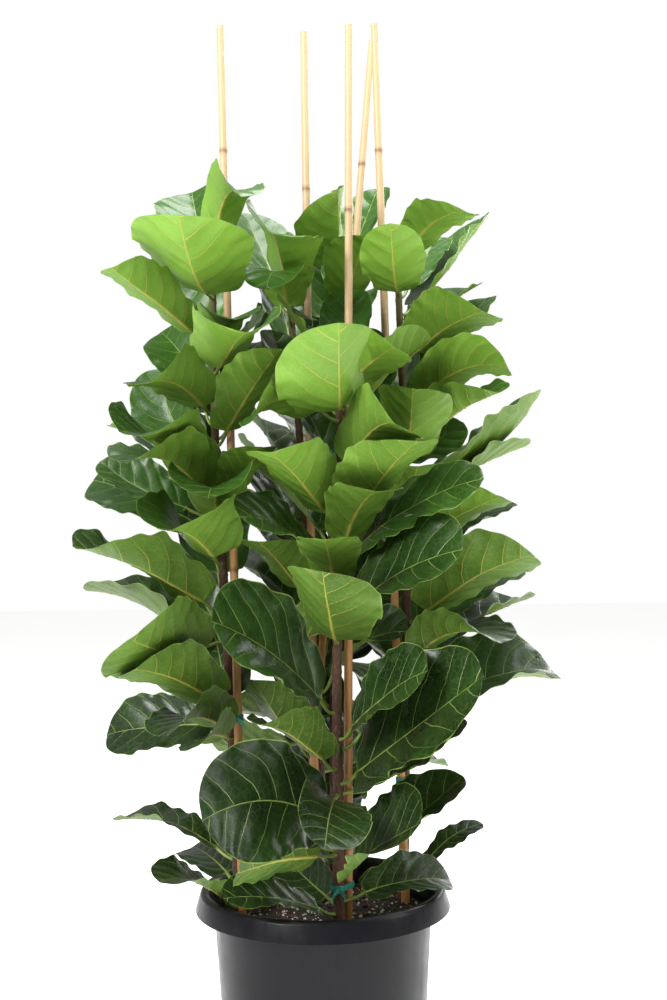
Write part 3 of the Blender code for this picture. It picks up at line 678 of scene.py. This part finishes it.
        ("d15", 0.605, 95, 40, 35, 0.15, 0.1, 25, 0, 15, 25, 0.02),
        ("d16", 0.610, -50, 35, -25, 0.16, 0.13, 10, 0, 25, 25, 0.03),
        ("d17", 0.510, 20, 35, -10, 0.22, 0.17, -25, 0, 25, 35, 0.03),
        ("d19", 0.285, 25, 45, 5, 0.12, 0.04, -15, 0, 15, 5, 0.03),
        ("d20", 0.590, 125, 30, 0, 0.12, 0.08, -5, 0, 25, 25, 0.03),
        ("d68", 0.505, 105, 45, -20, 0.2, 0.14, 10, 0, 30, 25, 0.03),
        ("d69", 0.600, 35, 30, 10, 0.2, 0.17, 0, 0, 35, 25, 0.03),
        ("d70", 0.700, 75, 45, 10, 0.2, 0.16, 0, 0, 30, 25, 0.03),
        ("d71", 0.810, 20, 40, 15, 0.19, 0.13, 5, 0, 30, 25, 0.03),
        ("d72", 0.900, 50, 55, 20, 0.19, 0.15, 0, 0, 30, 25, 0.03),
        ("d73", 0.985, 85, 50, -15, 0.18, 0.12, 20, 0, 30, 50, 0.03),
        ("d74", 1.110, 35, 40, 55, 0.19, 0.13, 10, 0, 20, 25, 0.03),
        ("d115", 0.765, 275, 60, 25, 0.14, 0.11, -5, 0, 20, 45, 0.03),
        ("d125", 0.905, 305, 30, 10, 0.19, 0.12, -5, 0, 40, 45, 0.02),
    ],
    "e": [
        ("e1", 1.195, -90, 5, 60, 0.14, 0.13, -50, 0, 55, 35, 0.04),
        ("e2", 1.130, 90, 65, 50, 0.15, 0.08, -15, 0, 25, 25, 0.03),
        ("e3", 1.155, 55, 60, 55, 0.17, 0.09, 0, 0, 25, 25, 0.03),
        ("e5", 1.120, -75, 30, 30, 0.14, 0.1, 0, 0, 25, 25, 0.03),
        ("e51", 0.420, 75, 40, -5, 0.21, 0.17, 0, 0, 30, 25, 0.03),
        ("e52", 0.495, 125, 40, 0, 0.21, 0.17, 0, 0, 30, 25, 0.03),
        ("e53", 0.585, 70, 30, -25, 0.2, 0.16, 0, 0, 30, 25, 0.03),
        ("e54", 0.645, 95, 45, 5, 0.2, 0.16, 0, 0, 30, 25, 0.03),
        ("e55", 0.720, 140, 40, 15, 0.19, 0.15, 0, 0, 60, 25, 0.03),
        ("e56", 0.795, 60, 50, 15, 0.19, 0.15, 0, 0, 30, 25, 0.03),
        ("e57", 0.870, 115, 50, 20, 0.19, 0.15, 0, 0, 30, 25, 0.03),
        ("e58", 0.970, 50, 35, 5, 0.17, 0.13, -10, 0, 45, 25, 0.04),
        ("e59", 1.025, 75, 80, -5, 0.18, 0.12, 0, 0, 30, 25, 0.03),
        ("e60", 1.095, 105, 65, 35, 0.18, 0.14, 15, 0, 40, 20, 0.02),
        ("e110", 0.925, 0, -10, 40, 0.16, 0.1, -40, 0, 15, 10, 0.03),
        ("e116", 0.445, 160, 45, -5, 0.14, 0.09, -30, 0, 35, 20, 0.04),
        ("e118", 0.680, 35, 35, 35, 0.14, 0.1, -40, 0, 35, 30, 0.03),
        ("e120", 0.395, 125, 30, -25, 0.18, 0.12, 25, 0, 45, 25, 0.03),
        ("e127", 0.370, 95, 5, -5, 0.18, 0.13, -10, 0, 45, 10, 0.03),
        ("e130", 0.785, 75, 10, -35, 0.18, 0.11, -15, 0, 15, 30, 0.04),
        ("e131", 0.780, 20, 35, 25, 0.13, 0.08, -15, 0, 15, 35, 0.04),
        ("e134", 0.365, 80, 35, 25, 0.18, 0.13, 5, 0, 45, 15, 0.04),
        ("e139", 0.535, 135, 30, 45, 0.13, 0.1, 10, 0, 25, 25, 0.02),
    ],
}


def halfWidth(u):
    # the fiddle outline: lobed foot, slight waist near a third, widest past the middle, round tip
    waist = 0.09 * np.exp(-(((u - 0.3) / 0.12) ** 2))
    return u**0.30 * (1 - u) ** 0.42 * (0.80 + 0.60 * u**1.4 - waist) / 0.64


def bladeAxes(u, heading, rise, tipRise, roll, twist):
    # forward, sideways and upper directions: pitch goes from rise to tipRise as u to the power 1.2
    pitch = np.radians(rise + (tipRise - rise) * u**1.2)
    turn = math.radians(heading)
    lean = np.radians(roll + twist * u)[:, None]
    flat, climb = np.cos(pitch), np.sin(pitch)
    forward = np.stack([flat * math.cos(turn), flat * math.sin(turn), climb], axis=-1)
    upper = np.stack([-climb * math.cos(turn), -climb * math.sin(turn), flat], axis=-1)
    side = np.cross(forward, upper)
    return forward, side * np.cos(lean) + upper * np.sin(lean), upper * np.cos(lean) - side * np.sin(lean)


def leafGrid(stem, row):
    # a closed tube of rings: a round petiole that flattens into a curled, puckered blade
    name, height, heading, rise, tipRise, length, width, roll, twist, left, right, petiole = row
    number = int(name[1:])
    phase = leafShape["phaseStep"] * number
    cols = leafShape["columns"]
    top = np.sin(np.linspace(-1, 1, cols) * math.pi / 2 * 0.92) / math.sin(math.pi / 2 * 0.92)
    top[cols // 2 - 1:cols // 2 + 1] = top[cols // 2 - 1:cols // 2 + 1] * 0.5
    s = np.concatenate([top, top[1:-1][::-1]])
    face = np.concatenate([np.ones(cols), -np.ones(cols - 2)])
    face[[0, cols - 1]] = 0
    t = np.linspace(0, 1, leafShape["rows"])
    u = np.clip(0.5 * t + 0.5 * (0.5 - 0.5 * np.cos(math.pi * t)), 0, 0.996)
    forward, side, upper = bladeAxes(u, heading, rise, tipRise, roll, twist)

    fine = np.linspace(0, 1, 121)
    along = bladeAxes(fine, heading, rise, tipRise, 0, 0)[0]
    line = np.vstack([np.zeros(3), np.cumsum((along[1:] + along[:-1]) / 2 * length / 120, axis=0)])
    line = np.stack([np.interp(u, fine, line[:, axis]) for axis in range(3)], axis=-1)
    radial = np.array([math.cos(math.radians(heading)), math.sin(math.radians(heading)), 0.0])
    centre = stemPoint(stem, height)
    bladeFoot = centre + radial * leafShape["bladeFoot"] + forward[0] * petiole
    line = line + bladeFoot

    # across the blade the edge curls up along an arc whose angle grows with the distance from the midrib
    grow = (0.35 + 0.65 * np.sin(math.pi * u) ** 0.7)[:, None]
    curl = np.radians(np.where(s < 0, left, right))[None] * grow * 1.35
    reach = np.abs(s)[None]
    steep = 0.65 * curl
    angle = curl * 0.35 + steep * reach
    half = np.maximum(halfWidth(u) * width / 2, leafShape["petioleRadius"])[:, None]
    sideways = (np.sin(angle) - np.sin(curl * 0.35)) / steep * half
    upward = (np.cos(curl * 0.35) - np.cos(angle)) / steep * half
    x = s[None] * half
    y = u[:, None] * length

    # side veins leave the midrib at about 60 degrees and bow towards the tip
    pitch = length / leafShape["veinPairs"]
    lateral = (y - 0.55 * np.abs(x) - 0.5 * x**2 / (width / 2)) / pitch + np.where(s < 0, 0.12, 0.5)[None]
    lateral = lateral + 0.12 * np.sin(y * 60 + phase) + 6
    quilt = np.abs(np.sin(math.pi * lateral)) ** 0.7 - 0.55
    quilt = quilt * np.clip(4 * reach * (1 - reach), 0, 1) ** 0.6 * np.clip(half / 0.03, 0, 1)
    sides = np.sign(s)[None]
    body = np.sin(math.pi * u)[:, None]
    wave = leafShape["wave"] * length * np.sin(
        2 * math.pi * leafShape["wavesPerBlade"] * u[:, None] + phase + sides * 1.3) * reach**2 * body
    ruffle = 0.0075 * length * np.sin(u[:, None] * 37 + phase * 1.7 + sides * 2.1) * reach**4 * body
    sway = 0.0016 * np.sin(x * 55 + phase) * np.sin(y * 38 + phase * 0.6) * body
    lift = upward + wave + ruffle * 2 + sway + leafShape["pucker"] * (length / 0.2) * quilt

    # the outer face of each half leans with the curl; thickness fades to the margin
    normalUp = np.cos(angle)[..., None] * upper[:, None] - (np.sin(angle) * sides)[..., None] * side[:, None]
    fade = (1 - reach**6) * 0.85 + 0.15
    thick = leafShape["thickness"] / 2 * fade * np.clip((1 - u[:, None]) / 0.02, 0.2, 1)
    ribWide = leafShape["midribWidth"] * (1 - 0.72 * u[:, None])
    rib = leafShape["midribDepth"] * (1 - 0.8 * u[:, None]) * np.exp(-((x / ribWide) ** 2))
    veinRise = 0.0005 * np.exp(-(((np.abs((lateral + 0.5) % 1 - 0.5)) / 0.07) ** 2)) * (1 - reach) * body
    below = thick + rib + veinRise
    offset = np.where(face > 0, thick, np.where(face < 0, -below, 0))
    sweep = -0.05 * length * np.exp(-u[:, None] / 0.08) * reach**1.5
    tipPull = 0.012 * length * smoothStep(0.93, 1, u[:, None]) * (1 - reach)
    blade = (
        line[:, None] + side[:, None] * (sideways * sides)[..., None] + upper[:, None] * lift[..., None]
        + forward[:, None] * (sweep + tipPull)[..., None] + normalUp * offset[..., None]
    )

    # the petiole's circle, and a soft blend from it into the blade
    turn = np.where(face >= 0, math.pi * (1 - s) / 2, -math.pi * (1 - s) / 2)
    r = leafShape["petioleRadius"]
    ringAcross = np.cos(turn)[None, :, None] * side[:, None] + np.sin(turn)[None, :, None] * upper[:, None]
    circle = line[:, None] + r * ringAcross
    mix = smoothStep(0.0, 0.045, u)[:, None, None]
    blade = circle * (1 - mix) + blade * mix

    # petiole: a quadratic curve that leaves the stem square on and bends into the blade
    k = np.linspace(0, 1, leafShape["petioleRows"], endpoint=False)[:, None]
    foot = centre + radial * (stemRadius(stem, height) - 0.0012)
    knee = foot + radial * 0.4 * petiole
    stalk = (1 - k) ** 2 * foot + 2 * k * (1 - k) * knee + k**2 * bladeFoot
    ahead = radial * (1 - k) + forward[0] * k
    ahead = ahead / np.linalg.norm(ahead, axis=1)[:, None]
    flatSide = np.cross(radial, (0.0, 0.0, 1.0)) * (1 - k) + side[0] * k
    flatUp = np.cross(flatSide, ahead)
    flatUp = flatUp / np.linalg.norm(flatUp, axis=1)[:, None]
    flatSide = np.cross(ahead, flatUp)
    girth = r * (1 + 0.45 * np.exp(-k / 0.12) + 0.12 * k)
    girth = girth[:, :, None] * np.ones((1, len(s), 1))
    ringed = np.cos(turn)[None, :, None] * flatSide[:, None] + np.sin(turn)[None, :, None] * flatUp[:, None]
    points = np.concatenate([stalk[:, None] + girth * ringed, blade])

    rows, around = points.shape[:2]
    *quads, footCap, tipCap = tubeFaces(rows, around)
    quads = np.array(quads)
    # faces between upper columns show the upper side, the others the underside, and both are
    # split along the same diagonals, so that the two stay parallel where the blade is puckered
    upperFace = np.tile(np.arange(around) < cols - 1, rows - 1)
    first = np.where(upperFace[:, None], quads[:, [0, 1, 2]], quads[:, [0, 1, 3]])
    second = np.where(upperFace[:, None], quads[:, [0, 2, 3]], quads[:, [1, 2, 3]])
    faces = np.stack([first, second], axis=1).reshape(-1, 3).tolist() + [footCap, tipCap]
    slots = np.concatenate([np.repeat(np.where(upperFace, 0, 1), 2), [1, 0]])
    stalkRows = np.zeros((len(k), around))
    attributes = {
        "flat": np.stack([
            np.concatenate([stalkRows, x + 0 * u[:, None]]), np.concatenate([stalkRows, y + 0 * x]),
            np.full((rows, around), number * 0.37 + ord(stem) * 0.11)], axis=-1).reshape(-1, 3),
        "vein": np.stack([
            np.concatenate([stalkRows + 0.5, lateral]), np.concatenate([stalkRows, reach + 0 * lateral]),
            np.concatenate([stalkRows - 0.1, u[:, None] + 0 * x])], axis=-1).reshape(-1, 3),
        "tone": np.full(rows * around, leafTone(height, number)),
    }
    return points.reshape(-1, 3), faces, slots, attributes


def leafTone(height, number):
    # 0 is an old dark leaf, 1 is a young bright one: younger with height, with some scatter. On the underside
    # the dark end is also painted shade for leaves low in the plant
    return float(np.clip((height - 0.42) / 0.75 + 0.16 * math.sin(number * 2.7), 0.05, 1.0))


def leafSkin(name, upper):
    # upper: thick waxy cuticle, deep green, wet shine. under: matt, pale yellow green, raised net of veins
    dark, young, veinColour = (
        (leafShape[key] for key in ("upperDark", "upperYoung", "upperVein")) if upper
        else (leafShape[key] for key in ("underAgedAndShaded", "underYoung", "underVein"))
    )
    material, tree, shader = newMaterial(name, 0.30 if upper else 0.52, 1.45, young)
    place = put(tree, "ShaderNodeTexCoord").outputs["Object"]
    flat = put(tree, "ShaderNodeAttribute", attribute_name="flat").outputs["Vector"]
    vein = put(tree, "ShaderNodeAttribute", attribute_name="vein").outputs["Vector"]
    tone = put(tree, "ShaderNodeAttribute", attribute_name="tone").outputs["Fac"]
    sides = put(tree, "ShaderNodeSeparateXYZ", {"Vector": flat})
    parts = put(tree, "ShaderNodeSeparateXYZ", {"Vector": vein})

    # side veins: distance from the nearest whole number of the vein count, thinner towards the margin
    wander = put(tree, "ShaderNodeTexNoise", {"Vector": flat, "Scale": 38.0, "Detail": 2.0}).outputs["Fac"]
    bent = put(
        tree, "ShaderNodeMath", {0: wander, 1: 0.16, 2: parts.outputs["X"]}, operation="MULTIPLY_ADD"
    ).outputs[0]
    part = put(tree, "ShaderNodeMath", {0: bent}, operation="FRACT").outputs[0]
    middle = put(tree, "ShaderNodeMath", {0: part, 1: 0.5}, operation="SUBTRACT").outputs[0]
    spread = put(tree, "ShaderNodeMath", {0: middle}, operation="ABSOLUTE").outputs[0]
    away = put(tree, "ShaderNodeMath", {0: 0.5, 1: spread}, operation="SUBTRACT").outputs[0]
    thin = put(tree, "ShaderNodeMapRange", {
        "Value": parts.outputs["Y"], "From Min": 0.0, "From Max": 1.0,
        "To Min": 0.026 if upper else 0.046, "To Max": 0.010}).outputs[0]
    sideVein = put(tree, "ShaderNodeMapRange", {
        "Value": away, "From Min": 0.0, "From Max": thin, "To Min": 1.0, "To Max": 0.0},
        interpolation_type="SMOOTHSTEP").outputs[0]

    # midrib: distance from the centre line in metres, tapering to the tip
    offLine = put(tree, "ShaderNodeMath", {0: sides.outputs["X"]}, operation="ABSOLUTE").outputs[0]
    ribWidth = put(tree, "ShaderNodeMapRange", {
        "Value": parts.outputs["Z"], "From Min": 0.0, "From Max": 1.0,
        "To Min": 0.0024 if upper else 0.0044, "To Max": 0.0005}).outputs[0]
    rib = put(tree, "ShaderNodeMapRange", {
        "Value": offLine, "From Min": 0.0, "From Max": ribWidth, "To Min": 1.0, "To Max": 0.0},
        interpolation_type="SMOOTHSTEP").outputs[0]

    # net of small veins: cell edges about 11 mm and 3.5 mm apart
    cells = put(
        tree, "ShaderNodeTexVoronoi", {"Vector": flat, "Scale": 90.0}, feature="DISTANCE_TO_EDGE"
    ).outputs["Distance"]
    tiny = put(
        tree, "ShaderNodeTexVoronoi", {"Vector": flat, "Scale": 290.0}, feature="DISTANCE_TO_EDGE"
    ).outputs["Distance"]
    coarse = put(tree, "ShaderNodeMapRange", {
        "Value": cells, "From Min": 0.0, "From Max": 0.075, "To Min": 0.42, "To Max": 0.0}).outputs[0]
    delicate = put(tree, "ShaderNodeMapRange", {
        "Value": tiny, "From Min": 0.0, "From Max": 0.10, "To Min": 0.13, "To Max": 0.0}).outputs[0]
    net = put(tree, "ShaderNodeMath", {0: coarse, 1: delicate}, operation="MAXIMUM").outputs[0]
    main = put(tree, "ShaderNodeMath", {0: sideVein, 1: rib}, operation="MAXIMUM").outputs[0]
    strong = put(
        tree, "ShaderNodeMath", {0: main, 1: 0.80 if upper else 0.85}, operation="MULTIPLY"
    ).outputs[0]
    faint = put(
        tree, "ShaderNodeMath", {0: net, 1: 0.20 if upper else 0.36}, operation="MULTIPLY"
    ).outputs[0]
    allVeins = put(tree, "ShaderNodeMath", {0: strong, 1: faint}, operation="MAXIMUM").outputs[0]

    # blade colour: by age, clouded over a few centimetres; on the underside the darker colour low in the
    # plant is also painted shade
    cloud = put(tree, "ShaderNodeTexNoise", {"Vector": place, "Scale": 16.0, "Detail": 4.0}).outputs["Fac"]
    drift = put(tree, "ShaderNodeMath", {0: cloud, 1: -0.5}, operation="ADD").outputs[0]
    ageAndShade = put(
        tree, "ShaderNodeMath", {0: drift, 1: 0.7, 2: tone}, operation="MULTIPLY_ADD", use_clamp=True
    ).outputs[0]
    skin = put(
        tree, "ShaderNodeMix", {0: ageAndShade, 6: linear(dark), 7: linear(young)}, data_type="RGBA"
    ).outputs[2]
    lined = put(
        tree, "ShaderNodeMix", {0: allVeins, 6: skin, 7: linear(veinColour)}, data_type="RGBA"
    ).outputs[2]
    rim = put(
        tree, "ShaderNodeMapRange", {"Value": parts.outputs["Y"], "From Min": 0.975, "From Max": 0.995}
    ).outputs[0]
    edged = put(
        tree, "ShaderNodeMix", {0: rim, 6: lined, 7: linear(leafShape["margin"])}, data_type="RGBA"
    ).outputs[2]
    stem = put(tree, "ShaderNodeMapRange", {
        "Value": parts.outputs["Z"], "From Min": 0.035, "From Max": -0.005}).outputs[0]
    base = put(
        tree, "ShaderNodeMix", {0: stem, 6: edged, 7: linear(leafShape["stalk"])}, data_type="RGBA"
    ).outputs[2]
    tree.links.new(base, shader.inputs["Base Color"])

    # the cuticle: fine orange-peel, and veins sunk above and raised below
    peel = put(tree, "ShaderNodeTexNoise", {"Vector": flat, "Scale": 520.0, "Detail": 3.0}).outputs["Fac"]
    relief = put(
        tree, "ShaderNodeMath", {0: allVeins, 1: -1.0 if upper else 1.0}, operation="MULTIPLY"
    ).outputs[0]
    surface = put(
        tree, "ShaderNodeMath", {0: peel, 1: 0.30, 2: relief}, operation="MULTIPLY_ADD"
    ).outputs[0]
    bump = put(tree, "ShaderNodeBump", {"Height": surface, "Strength": 0.45, "Distance": 0.0012})
    tree.links.new(bump.outputs[0], shader.inputs["Normal"])
    matt = put(tree, "ShaderNodeMapRange", {
        "Value": cloud, "From Min": 0.3, "From Max": 0.7,
        "To Min": 0.24 if upper else 0.45, "To Max": 0.38 if upper else 0.60}).outputs[0]
    tree.links.new(matt, shader.inputs["Roughness"])
    return material


def buildLeaves():
    skins = [leafSkin("leafUpperCuticle", True), leafSkin("leafUnderside", False)]
    for stem, rows in leaves.items():
        inner = []
        for row in rows:
            points, faces, slots, attributes = leafGrid(stem, row)
            node = "leaf_" + row[0]
            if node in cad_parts:
                addPiece("figLeaf_" + row[0], points, faces, skins, attributes, slots, stands=[node])
            else:
                inner.append((points, faces, slots, attributes))
        # leaves that no solid stands for go into one piece for each stem
        if inner:
            starts = np.cumsum([0] + [len(part[0]) for part in inner])
            points = np.concatenate([part[0] for part in inner])
            faces = [[v + int(start) for v in face] for start, part in zip(starts, inner) for face in part[1]]
            slots = np.concatenate([part[2] for part in inner])
            merged = {key: np.concatenate([part[3][key] for part in inner]) for key in inner[0][3]}
            addPiece("innerLeaves_" + stem, points, faces, skins, merged, slots)
        print("leaves of stem", stem, "done:", len(rows))


# floor, light and camera

studio = {
    "floor": "#f6f6f4", "cameraPlace": (0.0229, -1.96, 0.843), "lens": 50.0, "roll": 0.81,
    "worldLight": 0.42, "worldSeen": 1.0, "floorGlow": 0.54,
    "lights": [
        # name, place, aimed at, width, height, watts
        ("keySoftbox", (-1.9, -2.3, 2.3), (0, 0, 0.8), 1.0, 1.8, 125),
        ("topSoftbox", (0.4, 0.1, 3.0), (0, 0, 0.8), 1.6, 1.6, 80),
        ("rearPanel", (1.8, 2.2, 1.8), (0, 0, 0.9), 1.4, 1.8, 60),
        ("sidePanel", (2.6, -0.6, 1.9), (0, 0, 0.9), 0.6, 1.6, 22),
    ],
}


def buildStudio():
    scene = bpy.context.scene
    scene.view_settings.view_transform = "Standard"
    scene.view_settings.look = "None"
    scene.view_settings.exposure = 0.0
    world = bpy.data.worlds.new("paleStudio")
    scene.world = world
    world.use_nodes = True
    sky = world.node_tree.nodes["Background"]
    sky.inputs["Color"].default_value = (1.0, 1.0, 1.0, 1.0)
    seen = put(world.node_tree, "ShaderNodeLightPath").outputs["Is Camera Ray"]
    strength = put(world.node_tree, "ShaderNodeMapRange", {
        "Value": seen, "To Min": studio["worldLight"], "To Max": studio["worldSeen"]}).outputs[0]
    world.node_tree.links.new(strength, sky.inputs["Strength"])
    size = 9.0
    mesh = bpy.data.meshes.new("floor")
    low = -0.0005  # just under the pot, so that the two never share a plane
    corners = [(-size, -size, low), (size, -size, low), (size, size, low), (-size, size, low)]
    mesh.from_pydata(corners, [], [(0, 1, 2, 3)])
    material, tree, shader = newMaterial("paintedStudioFloor", 0.8, 1.45, studio["floor"])
    place = put(tree, "ShaderNodeTexCoord").outputs["Object"]
    cloud = put(tree, "ShaderNodeTexNoise", {"Vector": place, "Scale": 2.0}).outputs["Fac"]
    base = put(
        tree, "ShaderNodeMix", {0: cloud, 6: linear(studio["floor"]), 7: linear("#fafaf8")}, data_type="RGBA"
    )
    tree.links.new(base.outputs[2], shader.inputs["Base Color"])
    shader.inputs["Emission Color"].default_value = (1.0, 1.0, 1.0, 1.0)
    shader.inputs["Emission Strength"].default_value = studio["floorGlow"]
    mesh.materials.append(material)
    floor = bpy.data.objects.new("floor", mesh)
    scene.collection.objects.link(floor)
    for name, place, aim, width, height, watts in studio["lights"]:
        data = bpy.data.lights.new(name, "AREA")
        data.shape = "RECTANGLE"
        data.size, data.size_y, data.energy = width, height, watts
        lamp = bpy.data.objects.new(name, data)
        lamp.location = place
        direction = np.array(aim) - np.array(place)
        flatRun = math.hypot(direction[0], direction[1])
        lamp.rotation_euler = (math.atan2(flatRun, -direction[2]), 0, math.atan2(-direction[0], direction[1]))
        scene.collection.objects.link(lamp)
    data = bpy.data.cameras.new("camera")
    data.lens = studio["lens"]
    data.sensor_width = 36.0
    camera = bpy.data.objects.new("camera", data)
    camera.location = studio["cameraPlace"]
    camera.rotation_euler = (math.radians(90), math.radians(studio["roll"]), 0)
    scene.collection.objects.link(camera)
    scene.camera = camera
    print("studio done")


buildStudio()
buildPot()
buildSoil()
buildCanes()
buildStems()
buildTies()
buildLeaves()
